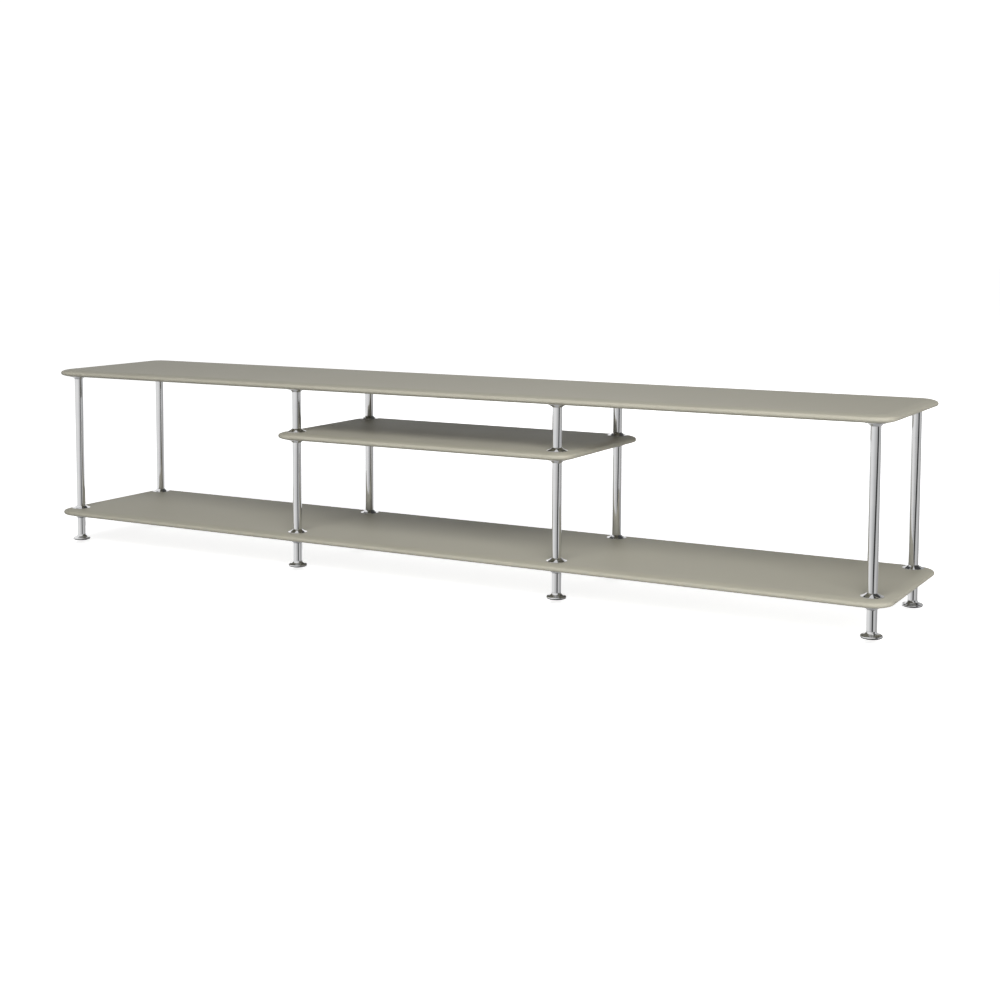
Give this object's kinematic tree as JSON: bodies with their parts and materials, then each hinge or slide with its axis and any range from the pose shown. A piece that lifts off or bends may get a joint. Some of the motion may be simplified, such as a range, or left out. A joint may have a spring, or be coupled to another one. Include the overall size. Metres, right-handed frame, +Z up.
{
  "type": "low console",
  "caption": "Long low open console with tapered lacquered boards clamped between chromed tube posts with flared collars, a short middle shelf, and flared screw feet for levelling.",
  "frame": {"origin": "on the floor, under the middle of the console", "axes": "+X along the console towards its right end seen from the front, +Y from front to back, +Z up"},
  "size_m": [2.032, 0.378, 0.4185],
  "materials": {
    "lacquered_board": "fibreboard with a satin warm grey lacquer on every face",
    "chromed_steel": "polished chrome plating",
    "zinc_plated_steel": "zinc plated, threaded",
    "brass_insert": "turned brass",
    "plastic_glide": "moulded nylon"
  },
  "bodies": {
    "console": {"bottom_board": "lacquered_board", "bottom_board_lower_collars": "chromed_steel", "bottom_board_studs": "zinc_plated_steel", "bottom_board_upper_collars": "chromed_steel", "end_post_back_left": "chromed_steel", "end_post_back_right": "chromed_steel", "end_post_front_left": "chromed_steel", "end_post_front_right": "chromed_steel", "leg_back_inner_left": "chromed_steel", "leg_back_inner_right": "chromed_steel", "leg_back_left": "chromed_steel", "leg_back_right": "chromed_steel", "leg_front_inner_left": "chromed_steel", "leg_front_inner_right": "chromed_steel", "leg_front_left": "chromed_steel", "leg_front_right": "chromed_steel", "leg_nuts": "zinc_plated_steel", "lower_post_back_inner_left": "chromed_steel", "lower_post_back_inner_right": "chromed_steel", "lower_post_front_inner_left": "chromed_steel", "lower_post_front_inner_right": "chromed_steel", "middle_board": "lacquered_board", "middle_board_lower_collars": "chromed_steel", "middle_board_studs": "zinc_plated_steel", "middle_board_upper_collars": "chromed_steel", "top_board": "lacquered_board", "top_board_collars": "chromed_steel", "top_board_inserts": "brass_insert", "top_board_studs": "zinc_plated_steel", "upper_post_back_inner_left": "chromed_steel", "upper_post_back_inner_right": "chromed_steel", "upper_post_front_inner_left": "chromed_steel", "upper_post_front_inner_right": "chromed_steel"},
    "glide_front_left": {"glide_front_left": "plastic_glide"},
    "foot_front_left": {"foot_front_left": "chromed_steel", "foot_stud_front_left": "zinc_plated_steel"},
    "glide_back_left": {"glide_back_left": "plastic_glide"},
    "foot_back_left": {"foot_back_left": "chromed_steel", "foot_stud_back_left": "zinc_plated_steel"},
    "glide_front_inner_left": {"glide_front_inner_left": "plastic_glide"},
    "foot_front_inner_left": {"foot_front_inner_left": "chromed_steel", "foot_stud_front_inner_left": "zinc_plated_steel"},
    "glide_back_inner_left": {"glide_back_inner_left": "plastic_glide"},
    "foot_back_inner_left": {"foot_back_inner_left": "chromed_steel", "foot_stud_back_inner_left": "zinc_plated_steel"},
    "glide_front_inner_right": {"glide_front_inner_right": "plastic_glide"},
    "foot_front_inner_right": {"foot_front_inner_right": "chromed_steel", "foot_stud_front_inner_right": "zinc_plated_steel"},
    "glide_back_inner_right": {"glide_back_inner_right": "plastic_glide"},
    "foot_back_inner_right": {"foot_back_inner_right": "chromed_steel", "foot_stud_back_inner_right": "zinc_plated_steel"},
    "glide_front_right": {"glide_front_right": "plastic_glide"},
    "foot_front_right": {"foot_front_right": "chromed_steel", "foot_stud_front_right": "zinc_plated_steel"},
    "glide_back_right": {"glide_back_right": "plastic_glide"},
    "foot_back_right": {"foot_back_right": "chromed_steel", "foot_stud_back_right": "zinc_plated_steel"}
  },
  "joints": [
    {"name": "foot_front_left_travel", "type": "slide", "parent": "console", "child": "glide_front_left", "axis": [0, 0, -1], "range_m": [0, 0.01]},
    {"name": "foot_front_left_screw", "type": "hinge", "parent": "glide_front_left", "child": "foot_front_left", "pos_m": [-0.975, -0.147, 0.005], "axis": [0, 0, -1], "range_deg": [0, 2881]},
    {"name": "foot_back_left_travel", "type": "slide", "parent": "console", "child": "glide_back_left", "axis": [0, 0, -1], "range_m": [0, 0.01]},
    {"name": "foot_back_left_screw", "type": "hinge", "parent": "glide_back_left", "child": "foot_back_left", "pos_m": [-0.975, 0.147, 0.005], "axis": [0, 0, -1], "range_deg": [0, 2881]},
    {"name": "foot_front_inner_left_travel", "type": "slide", "parent": "console", "child": "glide_front_inner_left", "axis": [0, 0, -1], "range_m": [0, 0.01]},
    {"name": "foot_front_inner_left_screw", "type": "hinge", "parent": "glide_front_inner_left", "child": "foot_front_inner_left", "pos_m": [-0.325, -0.147, 0.005], "axis": [0, 0, -1], "range_deg": [0, 2881]},
    {"name": "foot_back_inner_left_travel", "type": "slide", "parent": "console", "child": "glide_back_inner_left", "axis": [0, 0, -1], "range_m": [0, 0.01]},
    {"name": "foot_back_inner_left_screw", "type": "hinge", "parent": "glide_back_inner_left", "child": "foot_back_inner_left", "pos_m": [-0.325, 0.147, 0.005], "axis": [0, 0, -1], "range_deg": [0, 2881]},
    {"name": "foot_front_inner_right_travel", "type": "slide", "parent": "console", "child": "glide_front_inner_right", "axis": [0, 0, -1], "range_m": [0, 0.01]},
    {"name": "foot_front_inner_right_screw", "type": "hinge", "parent": "glide_front_inner_right", "child": "foot_front_inner_right", "pos_m": [0.325, -0.147, 0.005], "axis": [0, 0, -1], "range_deg": [0, 2881]},
    {"name": "foot_back_inner_right_travel", "type": "slide", "parent": "console", "child": "glide_back_inner_right", "axis": [0, 0, -1], "range_m": [0, 0.01]},
    {"name": "foot_back_inner_right_screw", "type": "hinge", "parent": "glide_back_inner_right", "child": "foot_back_inner_right", "pos_m": [0.325, 0.147, 0.005], "axis": [0, 0, -1], "range_deg": [0, 2881]},
    {"name": "foot_front_right_travel", "type": "slide", "parent": "console", "child": "glide_front_right", "axis": [0, 0, -1], "range_m": [0, 0.01]},
    {"name": "foot_front_right_screw", "type": "hinge", "parent": "glide_front_right", "child": "foot_front_right", "pos_m": [0.975, -0.147, 0.005], "axis": [0, 0, -1], "range_deg": [0, 2881]},
    {"name": "foot_back_right_travel", "type": "slide", "parent": "console", "child": "glide_back_right", "axis": [0, 0, -1], "range_m": [0, 0.01]},
    {"name": "foot_back_right_screw", "type": "hinge", "parent": "glide_back_right", "child": "foot_back_right", "pos_m": [0.975, 0.147, 0.005], "axis": [0, 0, -1], "range_deg": [0, 2881]}
  ],
  "couplings": [
    {"joint": "foot_front_left_screw", "follows": "foot_front_left_travel", "rad_per_m": 5026.5},
    {"joint": "foot_back_left_screw", "follows": "foot_back_left_travel", "rad_per_m": 5026.5},
    {"joint": "foot_front_inner_left_screw", "follows": "foot_front_inner_left_travel", "rad_per_m": 5026.5},
    {"joint": "foot_back_inner_left_screw", "follows": "foot_back_inner_left_travel", "rad_per_m": 5026.5},
    {"joint": "foot_front_inner_right_screw", "follows": "foot_front_inner_right_travel", "rad_per_m": 5026.5},
    {"joint": "foot_back_inner_right_screw", "follows": "foot_back_inner_right_travel", "rad_per_m": 5026.5},
    {"joint": "foot_front_right_screw", "follows": "foot_front_right_travel", "rad_per_m": 5026.5},
    {"joint": "foot_back_right_screw", "follows": "foot_back_right_travel", "rad_per_m": 5026.5}
  ]
}
